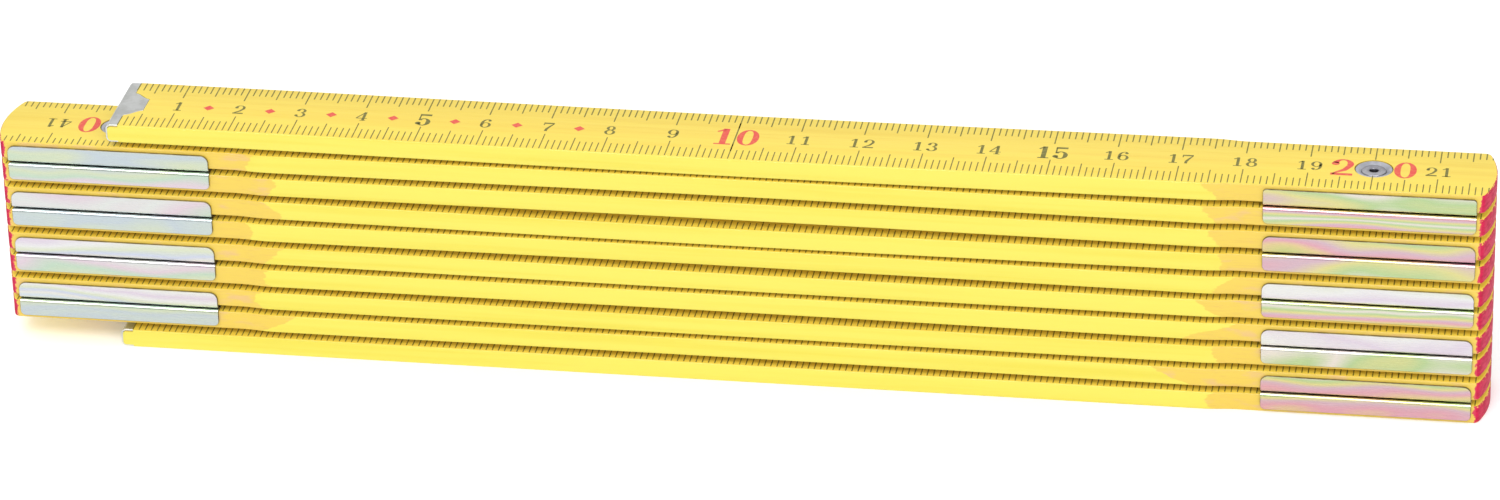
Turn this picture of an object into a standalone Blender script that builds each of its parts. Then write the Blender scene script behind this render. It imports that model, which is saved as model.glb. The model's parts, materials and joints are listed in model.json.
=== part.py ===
"""A two-metre folding rule: ten lacquered wooden blades on nine riveted spring joints, folded.

+X runs along the folded rule, +Y across its width and +Z up through the stack. The origin is on the
surface that the rule lies on, under its middle. Blade 1 is on top and carries the zero end at -X.
Joint 1 is at +X, joint 2 at -X, and so on: each joint turns about a vertical rivet.
"""

import math

import bmesh
import bpy
from mathutils import Matrix, Vector

# Driving sizes, in metres.
BLADE_COUNT = 10
JOINT_COUNT = BLADE_COUNT - 1
PIVOT_SPAN = 0.200
END_RADIUS = 0.0190
BLADE_WIDTH = 0.0160
BLADE_THICK = 0.0030

# The narrow sides are milled back at each joint, so that the plates' flanges lie flush.
MILL_DEPTH = 0.00045
MILL_FULL = 0.0200
MILL_RUN_OUT = 0.0055
END_CORNER = 0.0010

# Joint plates: two spring-steel channels face each other between two blades.
PLATE_LENGTH = 0.0328
PLATE_THICK = 0.0004
PLATE_BEND = 0.00045
FLANGE_COVER = 0.0024
FLANGE_CORNER = 0.0012
SEAT_GAP = 0.00002
PLATE_GAP = 0.00022
DETENT_RADIUS = 0.0055
DIMPLE_RADIUS = 0.0009
DIMPLE_HEIGHT = 0.0002
DETENT_HOLE = 0.0011
PLATE_HOLE = 0.0014

# Rivets and the dished washers that are let into the wood.
SHANK = 0.00125
RIVET_BORE = 0.0007
RIVET_HEAD = 0.0019
RIVET_SUNK = 0.00012
RIM_EASE = 0.0002
RIM_DEPTH = 0.00038
BLADE_HOLE = 0.0015
WASHER_OUTER = 0.0029
WASHER_INNER = 0.0014
WASHER_THICK = 0.00035
WASHER_DISH = 0.00055
WASHER_SUNK = 0.00005
POCKET_RADIUS = 0.0030
POCKET_DEPTH = 0.0010

# End caps: a folded sheet with a tongue on each face.
CAP_SHEET = 0.0003
CAP_GAP = 0.00005
CAP_BEND = 0.0008
CAP_HALF_WIDTH = 0.00775
CAP_STRIP = 0.0020
CAP_TONGUE = 0.00475
TONGUE_FOOT = 0.0040
TONGUE_TIP = 0.0021

# Worked out from the sizes above.
PIVOT_X = PIVOT_SPAN / 2
HALF_WIDTH = BLADE_WIDTH / 2
NARROW_HALF = HALF_WIDTH - MILL_DEPTH
PITCH = BLADE_THICK + 2 * (SEAT_GAP + PLATE_THICK) + PLATE_GAP
END_X = PIVOT_X + END_RADIUS
RIVET_LENGTH = PITCH + BLADE_THICK - 2 * RIVET_SUNK

# Facets.
TURN_STEPS = 12
BEND_STEPS = 2
CORNER_STEPS = 3
RUN_OUT_STEPS = 3
END_STEPS = 6
DETENT_STEPS = 8
CUT_MARGIN = 0.001

YELLOW = (0.86, 0.66, 0.03)
ZINC = (0.62, 0.60, 0.50)
STEEL = (0.50, 0.51, 0.53)


def clear_scene():
    for obj in list(bpy.data.objects):
        bpy.data.objects.remove(obj)


def make_collection(name):
    collection = bpy.data.collections.new(name)
    bpy.context.scene.collection.children.link(collection)
    return collection


def make_material(name, colour, roughness, metallic):
    material = bpy.data.materials.new(name)
    material.use_nodes = True
    shader = material.node_tree.nodes["Principled BSDF"]
    shader.inputs["Base Color"].default_value = (*colour, 1.0)
    shader.inputs["Roughness"].default_value = roughness
    shader.inputs["Metallic"].default_value = metallic
    return material


def arc(centre, radius, start, end, steps):
    """Points on an arc, both ends included; the angles are in degrees."""
    points = []
    for i in range(steps + 1):
        angle = math.radians(start + (end - start) * i / steps)
        points.append((centre[0] + radius * math.cos(angle), centre[1] + radius * math.sin(angle)))
    return points


def mirrored(points):
    """The same outline points with the second coordinate turned round, in reverse order."""
    return [(a, -b) for a, b in reversed(points)]


def as_mesh(obj, name, flatten=False):
    """The evaluated object as a new mesh, moved by its own matrix, with its seams welded.

    flatten also joins the triangles of each flat face into one.
    """
    graph = bpy.context.evaluated_depsgraph_get()
    graph.update()
    mesh = bpy.data.meshes.new_from_object(obj.evaluated_get(graph))
    mesh.transform(obj.matrix_world)
    mesh.name = name
    welded = bmesh.new()
    welded.from_mesh(mesh)
    bmesh.ops.remove_doubles(welded, verts=welded.verts, dist=1e-6)
    if flatten:
        bmesh.ops.dissolve_limit(
            welded, angle_limit=math.radians(1), verts=welded.verts, edges=welded.edges
        )
    bmesh.ops.recalc_face_normals(welded, faces=welded.faces)
    welded.to_mesh(mesh)
    welded.free()
    return mesh


def helper(name, mesh):
    """A cutter or an unfinished shape, which is not part of the rule."""
    obj = bpy.data.objects.new(name, mesh)
    obj.hide_render = True
    obj.display_type = "WIRE"
    helpers.objects.link(obj)
    return obj


def slab(name, outline, low, high, plane="XY"):
    """A flat outline given thickness. plane says which two axes the outline's points lie on."""
    curve = bpy.data.curves.new(name, "CURVE")
    curve.dimensions = "2D"
    curve.fill_mode = "BOTH"
    curve.extrude = (high - low) / 2
    spline = curve.splines.new("POLY")
    spline.points.add(len(outline) - 1)
    for point, (a, b) in zip(spline.points, outline):
        point.co = (a, b, 0, 1)
    spline.use_cyclic_u = True
    turn = {
        "XY": Matrix.Identity(4),
        "XZ": Matrix.Rotation(math.radians(90), 4, "X"),
        "YZ": Matrix.Rotation(math.radians(90), 4, "Z") @ Matrix.Rotation(math.radians(90), 4, "X"),
    }[plane]
    middle = (low + high) / 2
    shift = -middle if plane == "XZ" else middle
    obj = bpy.data.objects.new(name + "_curve", curve)
    obj.matrix_world = turn @ Matrix.Translation((0, 0, shift))
    helpers.objects.link(obj)
    bpy.context.view_layer.update()
    mesh = as_mesh(obj, name, flatten=True)
    bpy.data.objects.remove(obj)
    return helper(name, mesh)


def drum(name, radius, low, high, centre=(0, 0), steps=TURN_STEPS):
    """A plain cylinder from one height to another."""
    shape = bmesh.new()
    bmesh.ops.create_cone(
        shape, cap_ends=True, segments=steps, radius1=radius, radius2=radius, depth=high - low
    )
    bmesh.ops.translate(shape, verts=shape.verts, vec=(centre[0], centre[1], (low + high) / 2))
    mesh = bpy.data.meshes.new(name)
    shape.to_mesh(mesh)
    shape.free()
    return helper(name, mesh)


def button(name, radius, half_height, centre):
    """A flattened sphere, of which half stands out of the sheet that it is pressed in."""
    shape = bmesh.new()
    bmesh.ops.create_uvsphere(shape, u_segments=DETENT_STEPS, v_segments=4, radius=1.0)
    bmesh.ops.scale(shape, verts=shape.verts, vec=(radius, radius, half_height))
    bmesh.ops.translate(shape, verts=shape.verts, vec=centre)
    mesh = bpy.data.meshes.new(name)
    shape.to_mesh(mesh)
    shape.free()
    return helper(name, mesh)


def turned(name, profile):
    """A closed profile of (radius, height) turned about Z. It runs down its outer side first."""
    mesh = bpy.data.meshes.new(name)
    count = len(profile)
    corners = [(radius, 0, height) for radius, height in profile]
    mesh.from_pydata(corners, [(i, (i + 1) % count) for i in range(count)], [])
    obj = helper(name + "_profile", mesh)
    screw = obj.modifiers.new("Turn", "SCREW")
    screw.steps = TURN_STEPS
    screw.render_steps = TURN_STEPS
    screw.use_merge_vertices = True
    screw.merge_threshold = 0.00001
    bpy.context.view_layer.update()
    made = as_mesh(obj, name)
    bpy.data.objects.remove(obj)
    return made


def apply_boolean(obj, cutters, operation="DIFFERENCE"):
    for cutter in cutters:
        step = obj.modifiers.new(cutter.name, "BOOLEAN")
        step.operation = operation
        step.object = cutter


def finished(obj, name, sharp=30):
    """The helper's evaluated shape as a mesh that every copy of the piece shares."""
    bpy.context.view_layer.update()
    mesh = as_mesh(obj, name)
    mesh.shade_smooth()
    mesh.set_sharp_from_angle(angle=math.radians(sharp))
    return mesh


# ---------------------------------------------------------------------------------- blades


def smooth(t):
    return t * t * (3 - 2 * t)


def joint_end():
    """The +X end of a blade: an arc about the pivot, with its two corners eased."""
    inset = NARROW_HALF - END_CORNER
    corner = (math.sqrt((END_RADIUS - END_CORNER) ** 2 - inset**2), inset)
    meet = math.degrees(math.atan2(corner[1], corner[0]))
    turned_corner = arc((PIVOT_X + corner[0], inset), END_CORNER, 90, meet, CORNER_STEPS)
    side = [(PIVOT_X + corner[0], HALF_WIDTH)] + turned_corner[:-1]
    return side + arc((PIVOT_X, 0), END_RADIUS, meet, -meet, END_STEPS) + mirrored(side)


def mill_cutters(blade_end):
    """The cutters that narrow a blade at one end, each running out in a curve towards its middle."""
    start = PIVOT_X - MILL_FULL - MILL_RUN_OUT
    curve = []
    for i in range(RUN_OUT_STEPS + 1):
        t = i / RUN_OUT_STEPS
        curve.append((start + MILL_RUN_OUT * t, HALF_WIDTH - MILL_DEPTH * smooth(t)))
    beyond = END_X + CUT_MARGIN
    curve += [(beyond, NARROW_HALF), (beyond, HALF_WIDTH + CUT_MARGIN), (start, HALF_WIDTH + CUT_MARGIN)]
    cutters = []
    for edge in (-1, 1):
        outline = [(blade_end * x, edge * y) for x, y in curve]
        cutters.append(slab("mill", outline, -CUT_MARGIN, BLADE_THICK + CUT_MARGIN))
    return cutters


def rivet_cutters(side, pocket_on_top):
    """The rivet's hole through the wood and the washer's pocket, at the +X or the -X pivot."""
    at = (side * PIVOT_X, 0)
    hole = drum("rivet_hole", BLADE_HOLE, -CUT_MARGIN, BLADE_THICK + CUT_MARGIN, at)
    if pocket_on_top:
        pocket = drum("pocket", POCKET_RADIUS, BLADE_THICK - POCKET_DEPTH, BLADE_THICK + CUT_MARGIN, at)
    else:
        pocket = drum("pocket", POCKET_RADIUS, -CUT_MARGIN, POCKET_DEPTH, at)
    return [hole, pocket]


def middle_blade():
    """A blade with a joint at each end: a washer below at -X and above at +X."""
    right = joint_end()
    left = [(-x, -y) for x, y in right]
    blade = slab("middle_blade_shape", right + left, 0, BLADE_THICK)
    apply_boolean(blade, mill_cutters(-1) + mill_cutters(1))
    apply_boolean(blade, rivet_cutters(-1, False) + rivet_cutters(1, True))
    return finished(blade, "middle_blade")


def tongue_outline(grow, reach, half_width):
    """A cap's face seen from above: a strip across the blade's end, with a tapering tongue."""
    strip_x = -PIVOT_X + CAP_STRIP + grow
    tip_x = -PIVOT_X + CAP_TONGUE + grow
    half = [
        (-PIVOT_X - reach, -half_width),
        (strip_x, -half_width),
        (strip_x, -TONGUE_FOOT - grow),
        (tip_x, -TONGUE_TIP - grow),
    ]
    return half + mirrored(half)


def bend_outline(inset, beyond):
    """The cap's long section: a rounded nose at the blade's end, open towards the blade."""
    nose = -PIVOT_X + inset
    radius = CAP_BEND - inset
    low, high = inset, BLADE_THICK - inset
    points = [(beyond, low)]
    points += arc((nose + radius, low + radius), radius, 270, 180, CORNER_STEPS)
    points += arc((nose + radius, high - radius), radius, 180, 90, CORNER_STEPS)
    points.append((beyond, high))
    return points


def cap_core(name, inset):
    return slab(name, bend_outline(inset, -PIVOT_X + 0.02), -BLADE_WIDTH, BLADE_WIDTH, "XZ")


def end_cap():
    face = tongue_outline(0, 0, CAP_HALF_WIDTH)
    cap = slab("cap_shape", face, -CUT_MARGIN, BLADE_THICK + CUT_MARGIN)
    apply_boolean(cap, [cap_core("cap_outside", 0)], "INTERSECT")
    apply_boolean(cap, [cap_core("cap_inside", CAP_SHEET)])
    return finished(cap, "end_cap")


def end_blade():
    """The zero-end blade: a cap's seat at -X, and a joint with its washer above at +X."""
    nose = -PIVOT_X + CAP_SHEET + CAP_GAP
    outline = joint_end() + [(nose, -HALF_WIDTH), (nose, HALF_WIDTH)]
    blade = slab("end_blade_shape", outline, 0, BLADE_THICK)
    seat_face = tongue_outline(CAP_GAP, CUT_MARGIN, HALF_WIDTH + CUT_MARGIN)
    seat = slab("cap_seat", seat_face, -CUT_MARGIN, BLADE_THICK + CUT_MARGIN)
    apply_boolean(seat, [cap_core("cap_seat_core", CAP_SHEET + CAP_GAP)])
    apply_boolean(blade, mill_cutters(1) + [seat] + rivet_cutters(1, True))
    return finished(blade, "end_blade")


# ---------------------------------------------------------------------------------- joints


def channel_section():
    """A plate's section across the blade, below a blade whose underside is at height 0."""
    floor_low = -SEAT_GAP - PLATE_THICK
    centre = (HALF_WIDTH - PLATE_BEND, floor_low + PLATE_BEND)
    outer = [(HALF_WIDTH, FLANGE_COVER)] + arc(centre, PLATE_BEND, 0, -90, BEND_STEPS)
    inner = arc(centre, PLATE_BEND - PLATE_THICK, -90, 0, BEND_STEPS)
    inner.append((HALF_WIDTH - PLATE_THICK, FLANGE_COVER))
    left_outer = [(-y, z) for y, z in reversed(outer)]
    left_inner = [(-y, z) for y, z in reversed(inner)]
    return outer + left_outer + left_inner + inner


def flange_outline():
    """The plate seen from the side, with the flange's free corners rounded."""
    half, low = PLATE_LENGTH / 2, -CUT_MARGIN
    corner = (half - FLANGE_CORNER, FLANGE_COVER - FLANGE_CORNER)
    right = [(half, low)] + arc(corner, FLANGE_CORNER, 0, 90, CORNER_STEPS)
    return right + [(-x, z) for x, z in reversed(right)]


def joint_plate(name, dimpled):
    """A plate under a blade, centred on its rivet.

    One kind has two dimples, and the other has four holes that they drop into at each quarter turn.
    """
    plate = slab(name + "_shape", channel_section(), -PLATE_LENGTH / 2, PLATE_LENGTH / 2, "YZ")
    sides = slab(name + "_sides", flange_outline(), -BLADE_WIDTH, BLADE_WIDTH, "XZ")
    apply_boolean(plate, [sides], "INTERSECT")
    apply_boolean(plate, [drum(name + "_hole", PLATE_HOLE, -CUT_MARGIN, CUT_MARGIN)])
    for quarter in range(4):
        angle = math.radians(90 * quarter)
        x, y = DETENT_RADIUS * math.cos(angle), DETENT_RADIUS * math.sin(angle)
        if not dimpled:
            notch = drum(name + "_notch", DETENT_HOLE, -CUT_MARGIN, CUT_MARGIN, (x, y), DETENT_STEPS)
            apply_boolean(plate, [notch])
        elif quarter % 2 == 0:
            overlap = DIMPLE_HEIGHT / 2
            centre = (x, y, -SEAT_GAP - PLATE_THICK + overlap)
            dimple = button(name + "_dimple", DIMPLE_RADIUS, DIMPLE_HEIGHT + overlap, centre)
            apply_boolean(plate, [dimple], "UNION")
    return finished(plate, name)


def washer():
    """A dished ring, its rim at height 0 and its middle lower."""
    top = -WASHER_SUNK
    low = top - WASHER_DISH
    profile = [
        (WASHER_OUTER, top),
        (WASHER_OUTER, top - WASHER_THICK),
        (WASHER_INNER, low - WASHER_THICK),
        (WASHER_INNER, low),
    ]
    return turned("washer", profile)


def rivet():
    """A tubular rivet with a rolled rim at each end, centred on the joint."""
    top = RIVET_LENGTH / 2
    outer = [(RIVET_HEAD - RIM_EASE, top), (RIVET_HEAD, top - RIM_EASE), (SHANK, top - RIM_DEPTH)]
    under = [(radius, -z) for radius, z in reversed(outer)]
    return turned("rivet", outer + under + [(RIVET_BORE, -top), (RIVET_BORE, top)])


# -------------------------------------------------------------------------------- assembly


def section_empty(k):
    """What blade k and its pieces hang on: an empty on the axis of the joint under it."""
    empty = bpy.data.objects.new(f"section_{k}", None)
    if k < BLADE_COUNT:
        empty.location = joint_centre(k)
    rule.objects.link(empty)
    return empty


def blade_bottom(k):
    return (BLADE_COUNT - k) * PITCH


def joint_centre(j):
    """The point midway between the plates of joint j, which joins blade j to the blade below it."""
    side = 1 if j % 2 else -1
    return Vector((side * PIVOT_X, 0, blade_bottom(j) - SEAT_GAP - PLATE_THICK - PLATE_GAP / 2))


def place(name, mesh, material, parent, at, turn=None):
    obj = bpy.data.objects.new(name, mesh)
    if not mesh.materials:
        mesh.materials.append(material)
    obj.parent = parent
    obj.location = Vector(at) - parent.location
    if turn:
        obj.rotation_euler[("X", "Y", "Z").index(turn)] = math.pi
    rule.objects.link(obj)
    return obj


def build():
    wood = make_material("yellow_lacquered_wood", YELLOW, 0.45, 0.0)
    zinc = make_material("zinc_plated_spring_steel", ZINC, 0.30, 1.0)
    steel = make_material("rivet_steel", STEEL, 0.35, 1.0)
    cap_steel = make_material("cap_steel", STEEL, 0.40, 1.0)
    meshes = {
        "middle": middle_blade(),
        "end": end_blade(),
        "cap": end_cap(),
        "dimpled": joint_plate("dimpled_plate", True),
        "pierced": joint_plate("pierced_plate", False),
        "washer": washer(),
        "rivet": rivet(),
    }
    sections = {k: section_empty(k) for k in range(1, BLADE_COUNT + 1)}
    for k, section in sections.items():
        low = blade_bottom(k)
        name = f"blade_{k:02d}"
        if k == 1:
            place(name, meshes["end"], wood, section, (0, 0, low))
        elif k == BLADE_COUNT:
            place(name, meshes["end"], wood, section, (0, 0, low + BLADE_THICK), "X")
        else:
            place(name, meshes["middle"], wood, section, (0, 0, low), None if k % 2 else "Z")
    place("zero_end_cap", meshes["cap"], cap_steel, sections[1], (0, 0, blade_bottom(1)))
    place("far_end_cap", meshes["cap"], cap_steel, sections[BLADE_COUNT], (0, 0, 0))
    for j in range(1, JOINT_COUNT + 1):
        upper, lower = sections[j], sections[j + 1]
        centre = joint_centre(j)
        x = centre.x
        under, over = blade_bottom(j), blade_bottom(j + 1) + BLADE_THICK
        top, base = under + BLADE_THICK, blade_bottom(j + 1)
        name = f"joint_{j}"
        place(name + "_upper_plate", meshes["dimpled"], zinc, upper, (x, 0, under))
        place(name + "_lower_plate", meshes["pierced"], zinc, lower, (x, 0, over), "X")
        place(name + "_upper_washer", meshes["washer"], steel, upper, (x, 0, top))
        place(name + "_lower_washer", meshes["washer"], steel, lower, (x, 0, base), "X")
        place(name + "_rivet", meshes["rivet"], steel, lower, (x, 0, (top + base) / 2))


clear_scene()
rule = make_collection("folding_rule")
helpers = make_collection("cutters")
build()
for leftover in list(helpers.objects):
    bpy.data.objects.remove(leftover)
bpy.context.view_layer.update()
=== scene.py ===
"""The looks of a two-metre folding rule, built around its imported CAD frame.

Sizes are in millimetres. Each piece is modelled about its own blade or rivet. It is put in its place and
scaled to metres when it is finished, so that its object sits at the origin, as a CAD node's does, and its
materials read one shared frame. X runs along the folded rule, Y across it, and Z up through the blades.
"""
import json
import math

import bmesh
import bpy
from mathutils import Matrix, Quaternion, Vector

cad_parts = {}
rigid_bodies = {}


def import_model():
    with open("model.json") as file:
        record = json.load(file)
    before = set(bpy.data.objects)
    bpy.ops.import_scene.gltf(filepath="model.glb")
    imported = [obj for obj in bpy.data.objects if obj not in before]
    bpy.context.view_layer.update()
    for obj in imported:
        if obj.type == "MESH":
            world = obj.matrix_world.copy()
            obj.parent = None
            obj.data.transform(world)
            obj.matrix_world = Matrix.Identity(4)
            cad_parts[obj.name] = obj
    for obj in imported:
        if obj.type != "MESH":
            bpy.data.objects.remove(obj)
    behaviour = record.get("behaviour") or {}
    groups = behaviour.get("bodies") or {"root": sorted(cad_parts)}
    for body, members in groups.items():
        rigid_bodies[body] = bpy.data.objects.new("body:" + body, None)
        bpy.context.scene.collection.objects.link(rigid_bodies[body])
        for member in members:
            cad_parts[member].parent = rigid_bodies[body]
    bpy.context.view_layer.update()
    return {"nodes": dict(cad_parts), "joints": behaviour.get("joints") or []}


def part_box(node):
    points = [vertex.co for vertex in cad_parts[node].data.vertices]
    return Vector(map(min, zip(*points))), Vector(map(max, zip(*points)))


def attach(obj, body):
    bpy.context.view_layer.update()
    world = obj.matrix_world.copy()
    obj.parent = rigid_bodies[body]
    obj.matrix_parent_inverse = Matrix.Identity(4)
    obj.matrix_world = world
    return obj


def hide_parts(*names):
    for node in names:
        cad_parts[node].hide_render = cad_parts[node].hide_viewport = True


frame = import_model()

MM = 0.001

# Read from the frame.
BLADE_COUNT = sum(name.startswith("blade_") for name in frame["nodes"])
JOINTS = {int(joint["name"].split("_")[1]): joint for joint in frame["joints"]}
PIVOT_X = abs(JOINTS[1]["pos_m"][0]) / MM
BLADE_LOW, BLADE_HIGH = (Vector(corner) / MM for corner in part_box("blade_02"))
HALF_WIDTH = BLADE_HIGH.y
THICK = BLADE_HIGH.z - BLADE_LOW.z
END_RADIUS = BLADE_HIGH.x - PIVOT_X
PLATE_LOW, PLATE_HIGH = (Vector(corner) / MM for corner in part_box("joint_1_upper_plate"))
PLATE_HALF = (PLATE_HIGH.x - PLATE_LOW.x) / 2
UNDER_BLADE_1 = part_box("blade_01")[0].z / MM
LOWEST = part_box(f"blade_{BLADE_COUNT}")[0].z / MM
PITCH = (UNDER_BLADE_1 - LOWEST) / (BLADE_COUNT - 1)
FLANGE_COVER = PLATE_HIGH.z - UNDER_BLADE_1

# Blades.
ARRIS = 0.25
MILL_DEPTH = 0.45
MILL_FULL = 20.0
MILL_RUN_OUT = 5.5
END_CORNER = 1.0
BLADE_HOLE = 1.5
POCKET_RADIUS = 3.0
POCKET_DEPTH = 1.0
CAMBER = (-0.28, 0.28, 0.22, -0.28, 0.22, -0.08, 0.20, -0.08, 0.18, 0.0)
CAMBER_REACH = PIVOT_X - PLATE_HALF - 1.0
CAMBER_STEP = 8.0

# Joint plates.
PLATE_THICK = 0.4
SEAT_GAP = 0.02
PLATE_BEND = PLATE_THICK + ARRIS
TOP_PLATE_CORNER = 0.5
UPPER_PLATE_CORNER = 1.2
LOWER_PLATE_CORNER = 0.8
BEND_SUPPORT = 0.06
PLATE_HOLE = 1.4
DETENT_RADIUS = 5.5
DIMPLE_RADIUS = 0.9
DIMPLE_HEIGHT = 0.2
DETENT_HOLE = 1.1
EDGE_EASE = 0.05
EASED_FROM = 50

# Washers and rivets. A washer's lip and shoulder are at a radius and a drop from its rim, and its foot at a
# radius and a rise from its lowest point.
WASHER_OUTER = 2.9
WASHER_INNER = 1.4
WASHER_THICK = 0.35
WASHER_SUNK = 0.05
WASHER_DISH = 0.55
WASHER_ROLL = 0.14
WASHER_EDGE = 0.18
WASHER_LIP = (2.55, 0.02)
WASHER_SHOULDER = (2.5, 0.38)
WASHER_FOOT = (1.9, 0.12)
RIVET_HEAD = 1.9
RIVET_SHANK = 1.25
RIVET_BORE = 0.7
RIVET_SUNK = 0.12
RIVET_ROLL = 0.22
RIVET_BORE_DROP = 0.5
RIVET_SHANK_DROP = 0.42

# End caps.
CAP_SHEET = 0.3
CAP_GAP = 0.05
CAP_BEND = 0.8
CAP_HALF_WIDTH = 7.75
CAP_STRIP = 2.0
CAP_TONGUE = 4.75
CAP_CUT_LENGTH = 20.0
TONGUE_FOOT = 4.0
TONGUE_TIP = 2.1

# The upper plates whose zinc is silvery, by joint.
SILVERY = (5, 6, 7, 8)

# The printed scale. Its millimetres count from a blade's first pivot, or from the zero end on blade 1.
INK_HEIGHT = 0.008
BLADE_SPAN = round(2 * PIVOT_X)
CM_PER_BLADE = BLADE_SPAN // 10
TICKS_PAST_PIVOT = 19
TICKS_FROM_END = 2
TICK_SHORTEST = 0.4
EDGE_INSET = 0.28
MIDDLE_LINE_HALF = 0.11
MIDDLE_LINE_INSET = 3
TICKS_LONG = {"mm": 3.2, "half": 4.4, "cm": 5.2, "width": 0.18}
TICKS_MIDDLE = {"mm": 2.6, "half": 3.5, "cm": 4.6, "width": 0.20}
TICKS_SHORT = {"mm": 2.3, "half": 3.1, "cm": 4.1, "width": 0.19}
SMALL_DIGITS = {"height": 3.0, "width": 1.75, "step": 2.25, "bold": 0.15}
FIVE_DIGITS = {"height": 4.1, "width": 2.3, "step": 2.75, "bold": 0.19}
TEN_DIGITS = {"height": 5.6, "width": 3.5, "step": 3.95, "bold": 0.17}
SMALL_NARROW = {"height": 3.0, "width": 1.3, "step": 1.6, "bold": 0.15}
FIVE_NARROW = {"height": 4.1, "width": 1.7, "step": 2.0, "bold": 0.19}
TEN_NARROW = {"height": 5.6, "width": 2.5, "step": 2.8, "bold": 0.18}
PIVOT_DIGIT = 4.85
ORNAMENT_FIRST = 1
ORNAMENT_LAST = 7
ORNAMENT_REACH = 0.9

# Faces that meet at less than this many degrees shade as one.
SMOOTH_BELOW = 32


# ------------------------------------------------------------------------------ mesh helpers


def arc(cx, cy, radius, start, end, steps):
    """Points on an arc, both ends included; the angles are in degrees."""
    points = []
    for i in range(steps + 1):
        angle = math.radians(start + (end - start) * i / steps)
        points.append((cx + radius * math.cos(angle), cy + radius * math.sin(angle)))
    return points


def smooth(t):
    t = min(max(t, 0.0), 1.0)
    return t * t * (3 - 2 * t)


def mirrored(points):
    return [(a, -b) for a, b in reversed(points)]


def prism(outline, low, high, upright=False):
    """A bmesh of an outline given thickness: along Z, or along Y if the outline stands upright."""
    shape = bmesh.new()
    lower = [shape.verts.new((a, low, b) if upright else (a, b, low)) for a, b in outline]
    upper = [shape.verts.new((a, high, b) if upright else (a, b, high)) for a, b in outline]
    shape.faces.new(lower)
    shape.faces.new(upper)
    for i in range(len(outline)):
        j = (i + 1) % len(outline)
        shape.faces.new((lower[i], lower[j], upper[j], upper[i]))
    bmesh.ops.recalc_face_normals(shape, faces=shape.faces)
    return shape


def drum(radius, low, high, centre=(0, 0), steps=48):
    outline = arc(centre[0], centre[1], radius, 0, 360 - 360 / steps, steps - 1)
    return prism(outline, low, high)


def lathe(profile, steps=64):
    """A closed profile of (radius, height) turned about Z."""
    shape = bmesh.new()
    rings = []
    for i in range(steps):
        angle = 2 * math.pi * i / steps
        rings.append([shape.verts.new((r * math.cos(angle), r * math.sin(angle), z)) for r, z in profile])
    for i in range(steps):
        here, there = rings[i], rings[(i + 1) % steps]
        for k in range(len(profile)):
            n = (k + 1) % len(profile)
            shape.faces.new((here[k], there[k], there[n], here[n]))
    bmesh.ops.recalc_face_normals(shape, faces=shape.faces)
    return shape


def as_object(name, shape):
    mesh = bpy.data.meshes.new(name)
    shape.to_mesh(mesh)
    shape.free()
    obj = bpy.data.objects.new(name, mesh)
    bpy.context.scene.collection.objects.link(obj)
    return obj


def carve(shape, cutters, operation="DIFFERENCE"):
    """The shape with each cutter taken away from it, joined to it or kept in common with it."""
    obj = as_object("carved", shape)
    tools = []
    for cutter in cutters:
        tool = as_object("cutter", cutter)
        tools.append(tool)
        step = obj.modifiers.new("Cut", "BOOLEAN")
        step.operation = operation
        step.solver = "EXACT"
        step.object = tool
    graph = bpy.context.evaluated_depsgraph_get()
    made = bmesh.new()
    made.from_mesh(obj.evaluated_get(graph).to_mesh())
    for used in tools + [obj]:
        bpy.data.objects.remove(used)
    bmesh.ops.remove_doubles(made, verts=made.verts, dist=1e-4)
    return made


def ease_edges(shape):
    """Bevels every edge where two faces meet at more than EASED_FROM degrees."""
    limit = math.radians(EASED_FROM)
    edges = [e for e in shape.edges if e.is_manifold and e.calc_face_angle(0) > limit]
    bmesh.ops.bevel(shape, geom=edges, offset=EDGE_EASE, segments=1, profile=0.5, affect="EDGES")
    return shape


def turned_over(shape):
    """The shape turned upside down about X."""
    bmesh.ops.rotate(shape, verts=shape.verts, cent=(0, 0, 0), matrix=Matrix.Rotation(math.pi, 3, "X"))
    return shape


def finish_piece(name, shape, materials, at, body, node=None, choose=None):
    """Makes a bmesh in millimetres into a piece that rides on a body, and may stand for a CAD node.

    choose gives each face's material, by number, from its centre and its normal.
    """
    if choose:
        for face in shape.faces:
            face.material_index = choose(face.calc_center_median(), face.normal)
    bmesh.ops.translate(shape, verts=shape.verts, vec=at)
    bmesh.ops.scale(shape, verts=shape.verts, vec=(MM, MM, MM))
    obj = as_object(name, shape)
    for material in materials:
        obj.data.materials.append(material)
    obj.data.shade_smooth()
    obj.data.set_sharp_from_angle(angle=math.radians(SMOOTH_BELOW))
    bpy.context.view_layer.update()
    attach(obj, body)
    if node:
        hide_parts(node)


# ---------------------------------------------------------------------------------- shading


# How far along each axis the noise is shifted from one blade to the next.
LEVEL_SHIFT = (157.0, 91.0, 53.0)


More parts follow.
